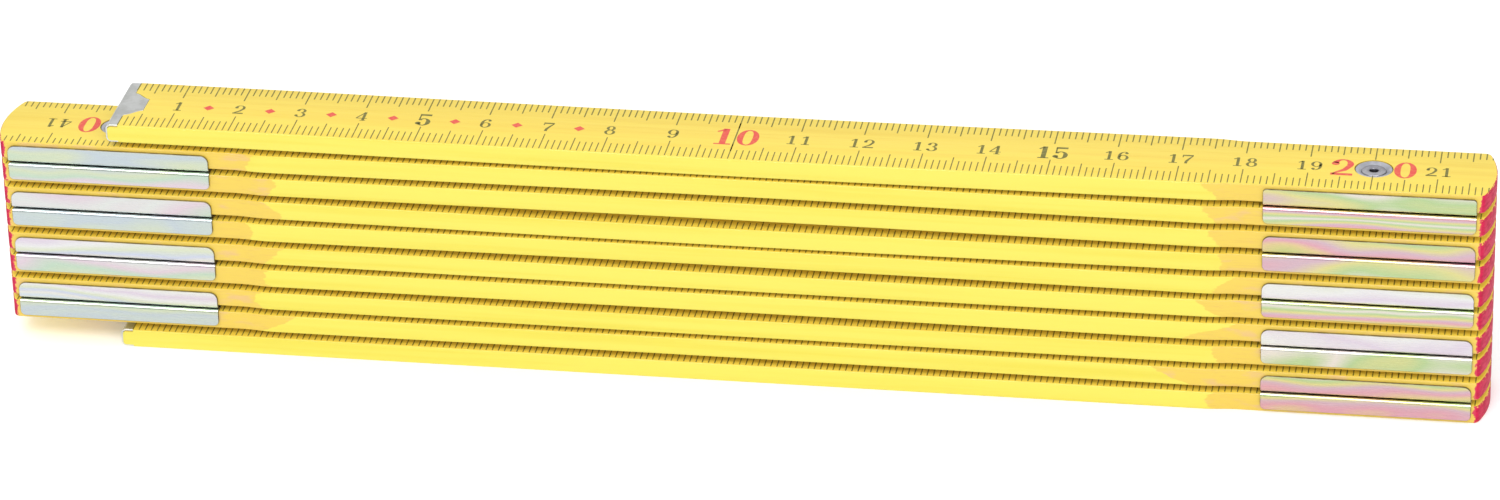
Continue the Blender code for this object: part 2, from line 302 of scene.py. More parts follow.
class Shader:
    """A new material and short ways to add nodes to it.

    place is the point in millimetres, height how far it is above the underside of its own blade, and
    variety a shift of the noise that gives each blade, and what is fixed to it, a pattern of its own.
    """

    def __init__(self, name, roughness=0.5, metallic=0.0, coat=0.0):
        self.material = bpy.data.materials.new(name)
        self.material.use_nodes = True
        self.tree = self.material.node_tree
        self.surface = self.tree.nodes["Principled BSDF"]
        self.surface.inputs["Roughness"].default_value = roughness
        self.surface.inputs["Metallic"].default_value = metallic
        self.surface.inputs["Coat Weight"].default_value = coat
        coords = self.tree.nodes.new("ShaderNodeTexCoord")
        scale = self.tree.nodes.new("ShaderNodeVectorMath")
        scale.operation = "SCALE"
        scale.inputs["Scale"].default_value = 1 / MM
        self.join(coords.outputs["Object"], scale.inputs[0])
        self.place = scale.outputs[0]
        self.x, self.y, z = self.split(self.place)
        up = self.math("SUBTRACT", z, LOWEST - (PITCH - THICK) / 2)
        level = self.math("FLOOR", self.math("DIVIDE", up, PITCH))
        above = self.math("SUBTRACT", z, LOWEST)
        self.height = self.math("SUBTRACT", above, self.math("MULTIPLY", level, PITCH))
        shift = self.tree.nodes.new("ShaderNodeCombineXYZ")
        for apart, socket in zip(LEVEL_SHIFT, shift.inputs):
            self.join(self.math("MULTIPLY", level, apart), socket)
        self.variety = shift.outputs[0]

    def join(self, output, socket):
        self.tree.links.new(output, socket)

    def feed(self, value, socket):
        if isinstance(value, bpy.types.NodeSocket):
            self.join(value, socket)
        else:
            socket.default_value = value

    def math(self, operation, *values):
        node = self.tree.nodes.new("ShaderNodeMath")
        node.operation = operation
        for value, socket in zip(values, node.inputs):
            self.feed(value, socket)
        return node.outputs[0]

    def split(self, vector):
        node = self.tree.nodes.new("ShaderNodeSeparateXYZ")
        self.join(vector, node.inputs[0])
        return node.outputs

    def noise(self, stretch, detail=3.0, rough=0.5):
        """Noise whose blotches are about 1 / stretch millimetres long on each axis."""
        add = self.tree.nodes.new("ShaderNodeVectorMath")
        add.operation = "ADD"
        self.join(self.place, add.inputs[0])
        self.join(self.variety, add.inputs[1])
        times = self.tree.nodes.new("ShaderNodeVectorMath")
        times.operation = "MULTIPLY"
        self.join(add.outputs[0], times.inputs[0])
        times.inputs[1].default_value = stretch
        node = self.tree.nodes.new("ShaderNodeTexNoise")
        node.inputs["Scale"].default_value = 1.0
        node.inputs["Detail"].default_value = detail
        node.inputs["Roughness"].default_value = rough
        self.join(times.outputs[0], node.inputs["Vector"])
        return node.outputs["Fac"]

    def step(self, value, low, high, to_low=0.0, to_high=1.0):
        """Runs smoothly from one result to another as a value goes from low to high."""
        node = self.tree.nodes.new("ShaderNodeMapRange")
        node.interpolation_type = "SMOOTHSTEP"
        for given, socket in zip((value, low, high, to_low, to_high), node.inputs):
            self.feed(given, socket)
        return node.outputs["Result"]

    def mix(self, factor, first, second):
        node = self.tree.nodes.new("ShaderNodeMix")
        node.data_type = "RGBA"
        self.feed(factor, node.inputs["Factor"])
        for value, socket in ((first, node.inputs[6]), (second, node.inputs[7])):
            self.feed(value if isinstance(value, bpy.types.NodeSocket) else (*value, 1.0), socket)
        return node.outputs[2]

    def ramp(self, factor, colours):
        node = self.tree.nodes.new("ShaderNodeValToRGB")
        while len(node.color_ramp.elements) < len(colours):
            node.color_ramp.elements.new(1.0)
        for i, colour in enumerate(colours):
            element = node.color_ramp.elements[i]
            element.position = i / (len(colours) - 1)
            element.color = (*colour, 1.0)
        self.join(factor, node.inputs[0])
        return node.outputs[0]

    def bump(self, height, strength, distance):
        node = self.tree.nodes.new("ShaderNodeBump")
        node.inputs["Strength"].default_value = strength
        node.inputs["Distance"].default_value = distance * MM
        self.join(height, node.inputs["Height"])
        self.join(node.outputs[0], self.surface.inputs["Normal"])

    def paint(self, colour, roughness=None):
        self.join(colour, self.surface.inputs["Base Color"])
        if roughness is not None:
            self.join(roughness, self.surface.inputs["Roughness"])
        return self.material


GOLDEN = (0.86, 0.66, 0.085)
GOLDEN_DARK = (0.82, 0.60, 0.065)
# Painted light: the two side tones are the faces' lacquer shifted greener, standing in for the brighter
# light that falls on the sides.
SIDE_LIT_LEMON = (0.68, 0.600, 0.078)
SIDE_LIT_LEMON_DEEP = (0.64, 0.545, 0.048)
BARE = (0.66, 0.47, 0.062)
BARE_PINK = (0.63, 0.41, 0.15)
RASPBERRY = (0.54, 0.010, 0.062)
RASPBERRY_DARK = (0.40, 0.010, 0.045)
PORE = (0.70, 0.47, 0.05)
BARE_PORE = (0.60, 0.38, 0.08)
CHIP = (0.80, 0.52, 0.10)
PALE_FILM = (0.74, 0.76, 0.76)
WARM_HUES = (
    (0.47, 0.50, 0.20),
    (0.62, 0.49, 0.26),
    (0.61, 0.33, 0.39),
    (0.54, 0.39, 0.45),
    (0.60, 0.56, 0.25),
    (0.40, 0.52, 0.27),
    (0.65, 0.60, 0.56),
)
SILVER_HUES = (
    (0.53, 0.60, 0.66),
    (0.64, 0.63, 0.58),
    (0.50, 0.54, 0.66),
    (0.58, 0.62, 0.48),
    (0.66, 0.66, 0.66),
    (0.60, 0.53, 0.62),
)
COOL_HUES = (
    (0.49, 0.55, 0.53),
    (0.46, 0.52, 0.56),
    (0.54, 0.59, 0.43),
    (0.45, 0.57, 0.46),
    (0.61, 0.51, 0.57),
    (0.60, 0.62, 0.60),
)


# How far past the start of the milling the bare wood shows, and how far past the pivot a side turns red,
# each before the noise that moves it.
BARE_LAG = 8.6
SIDE_RED = 17.95


def wood_grain(shader):
    """Long streaks along the blade, and short fine pores."""
    streaks = shader.noise((0.012, 0.55, 0.55), detail=4.0, rough=0.55)
    pores = shader.noise((0.12, 5.0, 5.0), detail=2.0, rough=0.6)
    return streaks, pores


def from_pivot(shader):
    """How far past the nearer pivot a point is along the blade, and its distance from that pivot."""
    out = shader.math("SUBTRACT", shader.math("ABSOLUTE", shader.x), PIVOT_X)
    across = shader.math("MULTIPLY", shader.y, shader.y)
    reach = shader.math("SQRT", shader.math("ADD", shader.math("MULTIPLY", out, out), across))
    return out, reach


def red_edge(shader, base, reach, start):
    """Red end paint that has crept unevenly onto another face, from about start away from the pivot."""
    ragged = shader.noise((0.9, 0.9, 0.9), detail=4.0, rough=0.65)
    limit = shader.math("ADD", reach, shader.math("MULTIPLY", ragged, 0.9))
    red = shader.step(limit, start + 0.45, start + 0.62)
    return shader.mix(red, base, RASPBERRY)


def face_material():
    shader = Shader("lacquered_face", roughness=0.42, coat=0.12)
    streaks, pores = wood_grain(shader)
    colour = shader.mix(shader.step(streaks, 0.36, 0.72), GOLDEN, GOLDEN_DARK)
    colour = shader.mix(shader.step(pores, 0.56, 0.80, 0.0, 0.35), colour, PORE)
    out, reach = from_pivot(shader)
    outer = shader.math("MULTIPLY", reach, shader.step(out, 14.0, 16.0))
    colour = red_edge(shader, colour, outer, END_RADIUS - 0.12)
    shader.bump(shader.math("ADD", streaks, shader.math("MULTIPLY", pores, 0.6)), 0.35, 0.04)
    return shader.paint(colour, shader.step(pores, 0.3, 0.8, 0.36, 0.52))


def side_material(name, capped):
    """The narrow sides: the faces' yellow lacquer in a greener tone that paints the brighter light the
    sides get, and bare wood where a joint end is milled.

    On a capped blade that is the +X end alone.
    """
    shader = Shader(name, roughness=0.40, coat=0.15)
    streaks, pores = wood_grain(shader)
    # The side tone is painted light; the streaks in it are grain.
    lit_side_tone = shader.mix(shader.step(streaks, 0.40, 0.75), SIDE_LIT_LEMON, SIDE_LIT_LEMON_DEEP)
    patches = shader.noise((0.16, 0.5, 0.5), detail=3.0)
    bare = shader.mix(shader.step(patches, 0.55, 0.72), BARE, BARE_PINK)
    bare = shader.mix(shader.step(pores, 0.50, 0.75, 0.0, 0.5), bare, BARE_PORE)
    out, _ = from_pivot(shader)
    if capped:
        out = shader.math("SUBTRACT", shader.x, PIVOT_X)
    wander = shader.math("MULTIPLY", shader.noise((0.03, 0.1, 0.20), detail=0.0), 13.0)
    torn = shader.math("MULTIPLY", shader.noise((0.5, 1.2, 1.8), detail=4.0, rough=0.65), 2.4)
    lean = shader.math("SUBTRACT", shader.noise((0.0, 0.0, 0.06), detail=0.0), 0.5)
    slope = shader.math("MULTIPLY", shader.math("MULTIPLY", lean, shader.height), 9.0)
    limit = shader.math("ADD", shader.math("ADD", out, slope), shader.math("ADD", wander, torn))
    start = BARE_LAG - MILL_FULL - MILL_RUN_OUT
    colour = shader.mix(shader.step(limit, start, start + 0.35), lit_side_tone, bare)
    ragged = shader.math("MULTIPLY", shader.noise((1.1, 1.1, 1.1), detail=4.0, rough=0.7), 2.2)
    red = shader.step(shader.math("ADD", out, ragged), SIDE_RED, SIDE_RED + 0.2)
    colour = shader.mix(red, colour, RASPBERRY)
    shader.bump(shader.math("ADD", streaks, shader.math("MULTIPLY", pores, 0.8)), 0.35, 0.05)
    return shader.paint(colour, shader.step(pores, 0.3, 0.8, 0.34, 0.50))


def end_material():
    shader = Shader("red_end_paint", roughness=0.6)
    shader.surface.inputs["Specular IOR Level"].default_value = 0.2
    brush = shader.noise((0.7, 0.7, 2.2), detail=4.0, rough=0.6)
    colour = shader.mix(shader.step(brush, 0.38, 0.66), RASPBERRY, RASPBERRY_DARK)
    chips = shader.noise((1.1, 1.1, 1.6), detail=5.0, rough=0.7)
    middle = shader.math("ABSOLUTE", shader.math("SUBTRACT", shader.height, THICK / 2))
    near_edge = shader.math("ADD", chips, shader.step(middle, 0.9, THICK / 2, 0.0, 0.16))
    colour = shader.mix(shader.step(near_edge, 0.68, 0.73), colour, CHIP)
    shader.bump(shader.math("ADD", brush, chips), 0.5, 0.05)
    return shader.paint(colour, shader.step(brush, 0.3, 0.7, 0.52, 0.70))


def plate_material(name, hues):
    """Zinc plate whose film shows pastel bands along the sheet, placed differently on each plate."""
    shader = Shader(name, roughness=0.26, metallic=1.0)
    drift = shader.noise((0.055, 0.10, 0.16), detail=1.0, rough=0.4)
    own = shader.math("MULTIPLY", shader.noise((0.004, 0.0, 0.13), detail=0.0), 4.0)
    lift = shader.math("MULTIPLY", shader.height, 0.10)
    wave = shader.math("ADD", shader.math("MULTIPLY", drift, 1.4), lift)
    wave = shader.math("ADD", wave, own)
    film = shader.ramp(shader.math("PINGPONG", wave, 1.0), hues)
    scratch = shader.noise((0.10, 7.0, 7.0), detail=3.0, rough=0.6)
    colour = shader.mix(shader.step(scratch, 0.52, 0.76, 0.0, 0.16), film, PALE_FILM)
    shader.bump(scratch, 0.14, 0.02)
    return shader.paint(colour, shader.step(scratch, 0.3, 0.75, 0.20, 0.36))


def steel_material(name, light, dark, roughness):
    shader = Shader(name, roughness=roughness, metallic=1.0)
    cloud = shader.noise((0.35, 0.35, 0.35), detail=4.0, rough=0.6)
    scuff = shader.noise((3.0, 3.0, 3.0), detail=3.0)
    colour = shader.mix(shader.step(cloud, 0.35, 0.65), light, dark)
    shader.bump(scuff, 0.15, 0.03)
    return shader.paint(colour, shader.step(scuff, 0.3, 0.7, roughness - 0.06, roughness + 0.10))


def ink_material(name, full, worn):
    shader = Shader(name, roughness=0.55)
    density = shader.noise((1.4, 2.2, 2.2), detail=4.0, rough=0.6)
    return shader.paint(shader.mix(shader.step(density, 0.40, 0.75), full, worn))


FACE = face_material()
SIDE = side_material("lacquered_side_with_painted_light", False)
SIDE_CAPPED = side_material("lacquered_side_capped", True)
END = end_material()
WARM_PLATE = plate_material("zinc_plate_warm", WARM_HUES)
COOL_PLATE = plate_material("zinc_plate_cool", COOL_HUES)
SILVER_PLATE = plate_material("zinc_plate_silver", SILVER_HUES)
# The plates' cut edges are painted dark olive as painted shade: the dark line of shadow around each flange.
SHADED_CUT_EDGE = steel_material("cut_plate_edge_painted_shade", (0.30, 0.27, 0.18), (0.16, 0.14, 0.09), 0.45)
WASHER_STEEL = steel_material("washer_steel", (0.62, 0.63, 0.68), (0.44, 0.45, 0.50), 0.36)
RIVET_STEEL = steel_material("rivet_steel", (0.50, 0.50, 0.54), (0.34, 0.34, 0.38), 0.32)
CAP_STEEL = steel_material("cap_steel", (0.70, 0.71, 0.70), (0.58, 0.59, 0.57), 0.46)
DARK_INK = ink_material("olive_ink", (0.15, 0.142, 0.027), (0.27, 0.24, 0.045))
RED_INK = ink_material("red_ink", (0.72, 0.075, 0.06), (0.78, 0.19, 0.08))


# ----------------------------------------------------------------------------------- blades


def half_width(out):
    """Half the width of a joint end at a distance out past its pivot; negative is towards the middle."""
    milled = smooth((out + MILL_FULL + MILL_RUN_OUT) / MILL_RUN_OUT)
    side = HALF_WIDTH - MILL_DEPTH * milled
    if out <= 0:
        return side
    return min(side, math.sqrt(max(END_RADIUS**2 - out**2, 0.0)))


def joint_end():
    """The +X end of a blade: the milled sides, and an arc about the pivot with eased corners."""
    points = []
    for i in range(13):
        out = -MILL_FULL - MILL_RUN_OUT * (1 - i / 12)
        points.append((PIVOT_X + out, half_width(out)))
    inset = HALF_WIDTH - MILL_DEPTH - END_CORNER
    corner_x = math.sqrt((END_RADIUS - END_CORNER) ** 2 - inset**2)
    meet = math.degrees(math.atan2(inset, corner_x))
    points += arc(PIVOT_X + corner_x, inset, END_CORNER, 90, meet, 6)[:-1]
    return points + arc(PIVOT_X, 0, END_RADIUS, meet, -meet, 28) + mirrored(points)


def tongue_outline(grow, reach, width):
    """A cap seen from above: a strip across the blade's square end, with an ogee tongue.

    The strip reaches past the end by reach, and the outline is larger than the cap by grow.
    """
    half = [(-reach, width), (CAP_STRIP + grow, width)]
    for i in range(13):
        t = i / 12
        x = CAP_STRIP + (CAP_TONGUE - CAP_STRIP) * t + grow
        y = TONGUE_FOOT + (TONGUE_TIP - TONGUE_FOOT) * smooth(t) + grow
        half.append((x, y))
    outline = half + mirrored(half)
    return [(x - PIVOT_X, y) for x, y in outline]


def cap_core(inset):
    """A long rounded bar, as far inside a cap's fold as inset: 0 is its outside."""
    radius = CAP_BEND - inset
    half = [(CAP_CUT_LENGTH, THICK - inset)]
    half += arc(CAP_BEND, THICK - CAP_BEND, radius, 90, 180, 8)
    lower = [(x, THICK - z) for x, z in reversed(half)]
    outline = [(x - PIVOT_X, z) for x, z in half + lower]
    return prism(outline, -2 * HALF_WIDTH, 2 * HALF_WIDTH, upright=True)


def cap_seat():
    """What is cut from a blade's square end to make room for its cap."""
    plan = prism(tongue_outline(CAP_GAP, 1.0, HALF_WIDTH + 1), -1, THICK + 1)
    return carve(plan, [cap_core(CAP_SHEET + CAP_GAP)])


def blade_shape(k):
    """Blade k, with its underside at height 0. The first and the last have a square end for a cap."""
    nose = PIVOT_X - CAP_SHEET - CAP_GAP
    square = [(nose, HALF_WIDTH), (nose, -HALF_WIDTH)]
    left_end = square if k in (1, BLADE_COUNT) else joint_end()
    shape = prism(joint_end() + [(-x, -y) for x, y in left_end], 0, THICK)
    rim = [e for e in shape.edges if abs(e.verts[0].co.z - e.verts[1].co.z) < 0.01]
    bmesh.ops.bevel(shape, geom=rim, offset=ARRIS, segments=3, profile=0.5, affect="EDGES")
    cutters = []
    for joint, on_top in ((k - 1, False), (k, True)):
        if joint not in JOINTS:
            cutters.append(cap_seat())
            continue
        x = JOINTS[joint]["pos_m"][0] / MM
        cutters.append(drum(BLADE_HOLE, -1, THICK + 1, (x, 0)))
        low, high = (THICK - POCKET_DEPTH, THICK + 1) if on_top else (-1, POCKET_DEPTH)
        cutters.append(drum(POCKET_RADIUS, low, high, (x, 0)))
    return carve(shape, cutters)


# A face is level if its normal points this much up or down, and red from just short of the end's corner.
LEVEL_NORMAL = 0.93
RED_MARGIN = 0.2


def wood_slot(centre, normal):
    """The face, the side or the red end: 0, 1 or 2."""
    if abs(normal.z) > LEVEL_NORMAL:
        return 0
    past = abs(centre.x) - PIVOT_X
    return 2 if past > math.sqrt(END_RADIUS**2 - (HALF_WIDTH - MILL_DEPTH) ** 2) - RED_MARGIN else 1


def camber(k, x):
    """How far blade k has warped up at x: nothing at the plates, most at mid-length."""
    if abs(x) >= CAMBER_REACH:
        return 0.0
    return CAMBER[k - 1] * (1 - (x / CAMBER_REACH) ** 2) ** 2


def warped(k, shape, divide=True):
    """The shape bent to blade k's camber, first divided along its length if it has long faces."""
    x = -CAMBER_REACH
    while divide and x <= CAMBER_REACH:
        everything = shape.verts[:] + shape.edges[:] + shape.faces[:]
        bmesh.ops.bisect_plane(shape, geom=everything, dist=1e-5, plane_co=(x, 0, 0), plane_no=(1, 0, 0))
        x += CAMBER_STEP
    for vert in shape.verts:
        vert.co.z += camber(k, vert.co.x)
    return shape


# ---------------------------------------------------------------------------- printed scale


def bow(cx, cy, rx, ry, start, end, thin, thick):
    """An elliptical pen stroke, thick where it runs upright and thin where it runs level."""
    steps = max(int(abs(end - start) / 18), 4)
    points = []
    for i in range(steps + 1):
        angle = math.radians(start + (end - start) * i / steps)
        width = thin + (thick - thin) * abs(math.cos(angle)) ** 1.5
        x = cx + (rx - width / 2) * math.cos(angle)
        points.append((x, cy + (ry - width / 2) * math.sin(angle), width))
    return points


def ribbon(points):
    """The quads along a pen stroke of (x, y, width)."""
    sides = []
    for i, (x, y, width) in enumerate(points):
        x0, y0, _ = points[max(i - 1, 0)]
        x1, y1, _ = points[min(i + 1, len(points) - 1)]
        length = math.hypot(x1 - x0, y1 - y0)
        nx, ny = -(y1 - y0) / length * width / 2, (x1 - x0) / length * width / 2
        sides.append(((x + nx, y + ny), (x - nx, y - ny)))
    return [[a[0], a[1], b[1], b[0]] for a, b in zip(sides, sides[1:])]


def bar(x0, y0, x1, y1):
    return [[(x0, y0), (x1, y0), (x1, y1), (x0, y1)]]


def dot(x, y, radius):
    return [arc(x, y, radius, 0, 330, 11)]


def digit_strokes(digit, thick):
    """The polygons of a slab-serif digit, one unit high and about 0.58 wide, about x = 0."""
    thin = 0.055
    ball = thick * 0.62
    if digit == "0":
        return ribbon(bow(0, 0.5, 0.29, 0.5, 0, 360, thin, thick))
    if digit == "1":
        stem = bar(0.03 - thick / 2, 0, 0.03 + thick / 2, 1)
        return stem + bar(-0.19, 0, 0.25, 0.07) + ribbon([(-0.19, 0.80, 0.07), (0.02, 0.955, 0.09)])
    if digit == "2":
        path = bow(0, 0.70, 0.28, 0.30, 165, -25, thin, thick)
        path += [(0.06, 0.34, thick * 0.8), (-0.16, 0.16, 0.08), (-0.23, 0.06, 0.06)]
        return ribbon(path) + bar(-0.28, 0, 0.28, 0.13) + dot(-0.19, 0.72, ball)
    if digit == "3":
        upper = ribbon(bow(0, 0.75, 0.25, 0.25, 155, -85, thin, thick))
        lower = ribbon(bow(0, 0.28, 0.29, 0.28, 88, -155, thin, thick))
        return upper + lower + dot(-0.17, 0.79, ball) + dot(-0.19, 0.20, ball)
    if digit == "4":
        stem = bar(0.10 - thick / 2, 0, 0.10 + thick / 2, 1)
        slope = ribbon([(0.09, 0.97, 0.07), (-0.27, 0.31, 0.07)])
        return stem + slope + bar(-0.30, 0.24, 0.29, 0.31) + bar(-0.06, 0, 0.26, 0.06)
    if digit == "5":
        bowl = ribbon(bow(0, 0.32, 0.29, 0.32, 140, -155, thin, thick))
        stem = bar(-0.22, 0.46, -0.16, 0.95)
        return bowl + stem + bar(-0.22, 0.86, 0.24, 1.0) + dot(-0.19, 0.20, ball)
    if digit == "6":
        ring = ribbon(bow(0, 0.31, 0.29, 0.31, 0, 360, thin, thick))
        back = ribbon(bow(0.06, 0.5, 0.35, 0.5, 205, 70, thin, thick))
        return ring + back + dot(0.15, 0.84, ball)
    if digit == "7":
        path = [(0.25, 0.88, 0.07), (0.06, 0.50, thick * 0.8), (-0.04, 0.25, thick), (-0.06, 0, thick)]
        return bar(-0.28, 0.86, 0.28, 1.0) + bar(-0.28, 0.70, -0.22, 0.90) + ribbon(path)
    if digit == "8":
        upper = ribbon(bow(0, 0.755, 0.24, 0.245, 0, 360, thin, thick))
        return upper + ribbon(bow(0, 0.28, 0.29, 0.28, 0, 360, thin, thick))
    return [[(-x, 1 - y) for x, y in polygon] for polygon in digit_strokes("6", thick)]


def written(digits, centre, style):
    """The polygons of a number set about a centre, on the blade's reading line."""
    polygons = []
    across = style["width"] / 0.58
    for i, digit in enumerate(digits):
        middle = centre + (i - (len(digits) - 1) / 2) * style["step"]
        for polygon in digit_strokes(digit, style["bold"]):
            polygons.append([(middle + x * across, (y - 0.5) * style["height"]) for x, y in polygon])
    return polygons


def number(cm, centre, at_pivot):
    """The number at a centimetre mark, with its colour: at a pivot its digits stand each side of it."""
    text = str(cm)
    narrow = len(text) > 2
    if cm % 10 == 0:
        style = TEN_NARROW if narrow else TEN_DIGITS
        if not at_pivot:
            return "red", written(text, centre, style)
        left = centre - PIVOT_DIGIT - (len(text) - 2) * style["step"] / 2
        return "red", written(text[:-1], left, style) + written(text[-1], centre + PIVOT_DIGIT, style)
    if cm % 5 == 0:
        return "dark", written(text, centre, FIVE_NARROW if narrow else FIVE_DIGITS)
    return "dark", written(text, centre, SMALL_NARROW if narrow else SMALL_DIGITS)


def diamond(x, reach):
    return [[(x - reach, 0), (x, -reach), (x + reach, 0), (x, reach)]]


def ornaments():
    """A plain row of small diamonds, one midway between each two of blade 1's first numbers."""
    marks = []
    for gap in range(ORNAMENT_FIRST, ORNAMENT_LAST + 1):
        marks += diamond(10 * gap + 5 - PIVOT_X, ORNAMENT_REACH)
    return marks


def ticks(k, forward):
    """Blade k's millimetre ticks along both edges, and the line across it at mid-length."""
    near, far = (TICKS_LONG, TICKS_MIDDLE) if k == 1 else (TICKS_SHORT, TICKS_SHORT)
    polygons = []
    first = TICKS_FROM_END if k == 1 else -TICKS_PAST_PIVOT
    last = BLADE_SPAN + (-TICKS_FROM_END if k == BLADE_COUNT else TICKS_PAST_PIVOT)
    for mm in range(first, last + 1):
        kind = "cm" if mm % 10 == 0 else "half" if mm % 5 == 0 else "mm"
        x = forward * (mm - PIVOT_X)
        capped = k in (1, BLADE_COUNT) and x < 0
        outer = HALF_WIDTH if capped else half_width(abs(x) - PIVOT_X)
        for side, style in ((-forward, near), (forward, far)):
            wide = style["width"] / 2
            top, low = outer - EDGE_INSET, HALF_WIDTH - EDGE_INSET - style[kind]
            if top - low > TICK_SHORTEST:
                ends = sorted((side * top, side * low))
                polygons += bar(x - wide, ends[0], x + wide, ends[1])
        if mm == BLADE_SPAN // 2:
            end = HALF_WIDTH - MIDDLE_LINE_INSET
            polygons += bar(x - MIDDLE_LINE_HALF, -end, x + MIDDLE_LINE_HALF, end)
    return polygons


def print_mesh(k):
    """All the ink on blade k, as thin films on its two broad faces."""
    forward = 1 if k % 2 else -1
    ink = {"dark": ticks(k, forward), "red": []}
    first = 1 if k == 1 else -1
    last = CM_PER_BLADE + (-1 if k == BLADE_COUNT else 1)
    for cm in range(first, last + 1):
        at_pivot = cm in (0, CM_PER_BLADE)
        colour, polygons = number(CM_PER_BLADE * (k - 1) + cm, 10 * cm - PIVOT_X, at_pivot)
        ink[colour] += [[(forward * x, forward * y) for x, y in polygon] for polygon in polygons]
    top_only = ornaments() if k == 1 else []
    vertices, faces, slots = [], [], []
    for upper in (True, False):
        height = THICK + INK_HEIGHT if upper else -INK_HEIGHT
        for slot, colour in enumerate(("dark", "red")):
            extra = top_only if upper and colour == "red" else []
            for polygon in ink[colour] + extra:
                start = len(vertices)
                vertices += [(x, y if upper else -y, height) for x, y in polygon]
                area = sum(a[0] * b[1] - b[0] * a[1] for a, b in zip(polygon, polygon[1:] + polygon[:1]))
                order = list(range(start, len(vertices)))
                faces.append(order if area > 0 else order[::-1])
                slots.append(slot)
    mesh = bpy.data.meshes.new("print")
    mesh.from_pydata(vertices, [], faces)
    mesh.polygons.foreach_set("material_index", slots)
    shape = bmesh.new()
    shape.from_mesh(mesh)
    bpy.data.meshes.remove(mesh)
    return shape


# ----------------------------------------------------------------------------------- joints


def flange_top(x, corner):
    """How high a flange reaches at x: its free corners are rounded."""
    into = PLATE_HALF - abs(x)
    if into >= corner:
        return FLANGE_COVER
    return FLANGE_COVER - corner + math.sqrt(max(corner**2 - (corner - into) ** 2, 0.0))


def plate_section(height):
    """A plate's section across the blade: its outside from flange to flange, then its inside back."""
    low = -SEAT_GAP - PLATE_THICK
    y = HALF_WIDTH - PLATE_BEND
    start = low + PLATE_BEND
    outer = [(HALF_WIDTH, height), (HALF_WIDTH, start + BEND_SUPPORT)]
    outer += arc(y, start, PLATE_BEND, 0, -90, 10) + [(y - BEND_SUPPORT, low)]
    inner = [(y - BEND_SUPPORT, low + PLATE_THICK)] + arc(y, start, PLATE_BEND - PLATE_THICK, -90, 0, 10)
    inside = HALF_WIDTH - PLATE_THICK
    inner += [(inside, start + BEND_SUPPORT), (inside, height)]
    left_outer = [(-a, b) for a, b in reversed(outer)]
    left_inner = [(-a, b) for a, b in reversed(inner)]
    return outer + left_outer + left_inner + inner


def plate_shape(dimpled, corner):
    """A channel under a blade, its flanges up over the blade's sides, centred on the rivet."""
    stations = [-PLATE_HALF + corner * (1 - math.cos(math.radians(90 * i / 6))) for i in range(7)]
    stations += [-x for x in reversed(stations)]
    shape = bmesh.new()
    loops = []
    for x in stations:
        section = plate_section(flange_top(x, corner))
        loops.append([shape.verts.new((x, y, z)) for y, z in section])
    for here, there in zip(loops, loops[1:]):
        for i in range(len(here)):
            j = (i + 1) % len(here)
            shape.faces.new((here[i], here[j], there[j], there[i]))
    shape.faces.new(loops[0])
    shape.faces.new(loops[-1])
    bmesh.ops.recalc_face_normals(shape, faces=shape.faces)
    ease_edges(shape)
    cutters = [drum(PLATE_HOLE, -1, 1)]
    bumps = []
    for quarter in range(4):
        angle = math.radians(90 * quarter)
        x, y = DETENT_RADIUS * math.cos(angle), DETENT_RADIUS * math.sin(angle)
        if not dimpled:
            cutters.append(drum(DETENT_HOLE, -1, 1, (x, y), 32))
        elif quarter % 2 == 0:
            bump = bmesh.new()
            bmesh.ops.create_uvsphere(bump, u_segments=28, v_segments=12, radius=1.0)
            tall = DIMPLE_HEIGHT + PLATE_THICK / 4
            bmesh.ops.scale(bump, verts=bump.verts, vec=(DIMPLE_RADIUS, DIMPLE_RADIUS, tall))
            below = -SEAT_GAP - PLATE_THICK * 3 / 4
            bmesh.ops.translate(bump, verts=bump.verts, vec=(x, y, below))
            bumps.append(bump)
    made = carve(shape, cutters)
    return carve(made, bumps, "UNION") if bumps else made


# A face high on a flange is a cut edge unless its normal points this much across the blade, and any face
# is one if its normal points this much along it.
FLANGE_NORMAL = 0.85
CUT_END_NORMAL = 0.6
ABOVE_BEND = 0.2


def plate_slot(centre, normal):
    """The sheet's faces, or its cut edges, which are painted dark as shade: 0 or 1."""
    high_on_flange = abs(centre.z) > PLATE_BEND + ABOVE_BEND
    cut_edge = high_on_flange and abs(normal.y) < FLANGE_NORMAL
    return 1 if cut_edge or abs(normal.x) > CUT_END_NORMAL else 0


def washer_shape():
    """A dished washer with a rolled rim, its rim just under height 0."""
    top = -WASHER_SUNK
    profile = [(WASHER_OUTER, top - WASHER_EDGE)]
    profile += arc(WASHER_OUTER - WASHER_ROLL, top - WASHER_ROLL, WASHER_ROLL, 0, 100, 5)
    lip, drop = WASHER_LIP
    for i in range(1, 9):
        t = i / 8
        radius = lip - (lip - WASHER_INNER) * t
        profile.append((radius, top - drop - WASHER_DISH * smooth(t) ** 0.85))
    low = profile[-1][1] - WASHER_THICK
    profile.append((WASHER_INNER, low))
    profile.append((WASHER_FOOT[0], low + WASHER_FOOT[1]))
    profile.append((WASHER_SHOULDER[0], top - WASHER_SHOULDER[1]))
    return lathe(profile)


def rivet_shape(length):
    """A tubular rivet with a rolled rim at each end, centred on the joint."""
    top = length / 2
    roll = (RIVET_HEAD - RIVET_BORE) / 2
    middle = (RIVET_HEAD + RIVET_BORE) / 2
    half = [(RIVET_BORE, top - RIVET_BORE_DROP)]
    for i in range(9):
        angle = math.radians(180 - 22.5 * i)
        height = top - RIVET_ROLL + RIVET_ROLL * math.sin(angle)
        half.append((middle + roll * math.cos(angle), height))
    half.append((RIVET_SHANK, top - RIVET_SHANK_DROP))
    return lathe(half + [(r, -z) for r, z in reversed(half)])


def cap_shape():
    plan = prism(tongue_outline(0, 0, CAP_HALF_WIDTH), -1, THICK + 1)
    fold = carve(plan, [cap_core(0)], "INTERSECT")
    return ease_edges(carve(fold, [cap_core(CAP_SHEET)]))


# ----------------------------------------------------------------------- pieces in their places


